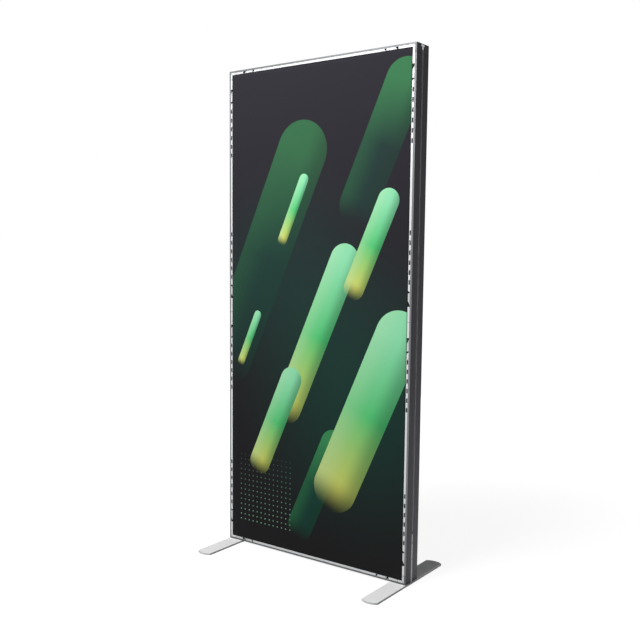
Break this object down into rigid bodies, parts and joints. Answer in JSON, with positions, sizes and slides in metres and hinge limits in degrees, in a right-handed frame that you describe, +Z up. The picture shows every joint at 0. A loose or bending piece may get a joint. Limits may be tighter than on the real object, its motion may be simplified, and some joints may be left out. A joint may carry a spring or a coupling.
{
  "type": "fabric lightbox display wall",
  "caption": "Free-standing double-sided fabric lightbox: slim slotted aluminium frame with slide locks, stretched graphic, LED bars inside, on flat plate feet.",
  "frame": {"origin": "centre of the footprint, on the floor under the feet", "axes": "+Z up, -Y towards the front graphic, +X to the right seen from the front"},
  "size_m": [0.88, 0.519, 2.0083],
  "materials": {
    "silver_graphite_frame": "satin anodised faces, graphite coated outer sides",
    "lock": "satin anodised",
    "slot_key": "satin anodised",
    "foot_bracket": "satin anodised",
    "foot_plate": "satin silver paint",
    "button": "blackened",
    "screw": "blackened",
    "spring": "bright wire",
    "splice": "glass-filled nylon",
    "inlet": "moulded",
    "printed_fabric": "printed stretch knit",
    "edge_strip": "milky silicone",
    "led_board": "white solder mask",
    "lens": "clear moulded",
    "supply_case": "folded sheet case",
    "wire": "white sheath"
  },
  "bodies": {
    "frame": {"bottom_left_corner": "silver_graphite_frame", "bottom_rail": "silver_graphite_frame", "bottom_right_corner": "silver_graphite_frame", "front_edge_strip": "edge_strip", "front_graphic": "printed_fabric", "left_lower_button_spring": "spring", "left_lower_led_bar": "led_board", "left_lower_lens_strip": "lens", "left_lower_upright": "silver_graphite_frame", "left_splice": "splice", "left_upper_button_spring": "spring", "left_upper_led_bar": "led_board", "left_upper_lens_strip": "lens", "left_upper_upright": "silver_graphite_frame", "mains_lead": "wire", "power_inlet": "inlet", "power_supply": "supply_case", "rear_edge_strip": "edge_strip", "rear_graphic": "printed_fabric", "right_lower_button_spring": "spring", "right_lower_led_bar": "led_board", "right_lower_lens_strip": "lens", "right_lower_upright": "silver_graphite_frame", "right_splice": "splice", "right_upper_button_spring": "spring", "right_upper_led_bar": "led_board", "right_upper_lens_strip": "lens", "right_upper_upright": "silver_graphite_frame", "top_left_corner": "silver_graphite_frame", "top_rail": "silver_graphite_frame", "top_right_corner": "silver_graphite_frame", "wiring_harness": "wire"},
    "left_foot": {"left_foot_plate": "foot_plate", "left_foot_bracket": "foot_bracket", "left_foot_flange_screw": "screw", "left_foot_lower_clamp_screw": "screw", "left_foot_upper_clamp_screw": "screw"},
    "right_foot": {"right_foot_plate": "foot_plate", "right_foot_bracket": "foot_bracket", "right_foot_flange_screw": "screw", "right_foot_lower_clamp_screw": "screw", "right_foot_upper_clamp_screw": "screw"},
    "bottom_rail_left_lock": {"bottom_rail_left_lock": "lock"},
    "bottom_rail_right_lock": {"bottom_rail_right_lock": "lock"},
    "left_lower_corner_lock": {"left_lower_corner_lock": "lock"},
    "left_lower_middle_lock": {"left_lower_middle_lock": "lock"},
    "left_upper_corner_lock": {"left_upper_corner_lock": "lock"},
    "left_upper_middle_lock": {"left_upper_middle_lock": "lock"},
    "right_lower_corner_lock": {"right_lower_corner_lock": "lock"},
    "right_lower_middle_lock": {"right_lower_middle_lock": "lock"},
    "right_upper_corner_lock": {"right_upper_corner_lock": "lock"},
    "right_upper_middle_lock": {"right_upper_middle_lock": "lock"},
    "top_rail_left_lock": {"top_rail_left_lock": "lock"},
    "top_rail_right_lock": {"top_rail_right_lock": "lock"},
    "left_lower_splice_button": {"left_lower_splice_button": "button"},
    "left_upper_splice_button": {"left_upper_splice_button": "button"},
    "right_lower_splice_button": {"right_lower_splice_button": "button"},
    "right_upper_splice_button": {"right_upper_splice_button": "button"},
    "left_slot_key": {"left_slot_key": "slot_key"},
    "right_slot_key": {"right_slot_key": "slot_key"}
  },
  "joints": [
    {"name": "left_foot_slide", "type": "slide", "parent": "frame", "child": "left_foot", "axis": [0, 0, -1], "range_m": [0, 0.1925]},
    {"name": "right_foot_slide", "type": "slide", "parent": "frame", "child": "right_foot", "axis": [0, 0, -1], "range_m": [0, 0.1925]},
    {"name": "bottom_rail_left_lock_slide", "type": "slide", "parent": "frame", "child": "bottom_rail_left_lock", "axis": [-1, 0, 0], "range_m": [0, 0.0075]},
    {"name": "bottom_rail_right_lock_slide", "type": "slide", "parent": "frame", "child": "bottom_rail_right_lock", "axis": [1, 0, 0], "range_m": [0, 0.0075]},
    {"name": "left_lower_corner_lock_slide", "type": "slide", "parent": "frame", "child": "left_lower_corner_lock", "axis": [0, 0, -1], "range_m": [0, 0.0075]},
    {"name": "left_lower_middle_lock_slide", "type": "slide", "parent": "frame", "child": "left_lower_middle_lock", "axis": [0, 0, 1], "range_m": [0, 0.0075]},
    {"name": "left_upper_corner_lock_slide", "type": "slide", "parent": "frame", "child": "left_upper_corner_lock", "axis": [0, 0, 1], "range_m": [0, 0.0075]},
    {"name": "left_upper_middle_lock_slide", "type": "slide", "parent": "frame", "child": "left_upper_middle_lock", "axis": [0, 0, -1], "range_m": [0, 0.0075]},
    {"name": "right_lower_corner_lock_slide", "type": "slide", "parent": "frame", "child": "right_lower_corner_lock", "axis": [0, 0, -1], "range_m": [0, 0.0075]},
    {"name": "right_lower_middle_lock_slide", "type": "slide", "parent": "frame", "child": "right_lower_middle_lock", "axis": [0, 0, 1], "range_m": [0, 0.0075]},
    {"name": "right_upper_corner_lock_slide", "type": "slide", "parent": "frame", "child": "right_upper_corner_lock", "axis": [0, 0, 1], "range_m": [0, 0.0075]},
    {"name": "right_upper_middle_lock_slide", "type": "slide", "parent": "frame", "child": "right_upper_middle_lock", "axis": [0, 0, -1], "range_m": [0, 0.0075]},
    {"name": "top_rail_left_lock_slide", "type": "slide", "parent": "frame", "child": "top_rail_left_lock", "axis": [-1, 0, 0], "range_m": [0, 0.0075]},
    {"name": "top_rail_right_lock_slide", "type": "slide", "parent": "frame", "child": "top_rail_right_lock", "axis": [1, 0, 0], "range_m": [0, 0.0075]},
    {"name": "left_lower_splice_button_press", "type": "slide", "parent": "frame", "child": "left_lower_splice_button", "axis": [1, 0, 0], "range_m": [0, 0.003], "stiffness_N_per_m": 800, "springref_m": -0.003},
    {"name": "left_upper_splice_button_press", "type": "slide", "parent": "frame", "child": "left_upper_splice_button", "axis": [1, 0, 0], "range_m": [0, 0.003], "stiffness_N_per_m": 800, "springref_m": -0.003},
    {"name": "right_lower_splice_button_press", "type": "slide", "parent": "frame", "child": "right_lower_splice_button", "axis": [-1, 0, 0], "range_m": [0, 0.003], "stiffness_N_per_m": 800, "springref_m": -0.003},
    {"name": "right_upper_splice_button_press", "type": "slide", "parent": "frame", "child": "right_upper_splice_button", "axis": [-1, 0, 0], "range_m": [0, 0.003], "stiffness_N_per_m": 800, "springref_m": -0.003},
    {"name": "left_slot_key_lift", "type": "slide", "parent": "frame", "child": "left_slot_key", "axis": [0, 0, 1], "range_m": [0, 0.03]},
    {"name": "right_slot_key_lift", "type": "slide", "parent": "frame", "child": "right_slot_key", "axis": [0, 0, 1], "range_m": [0, 0.03]}
  ]
}
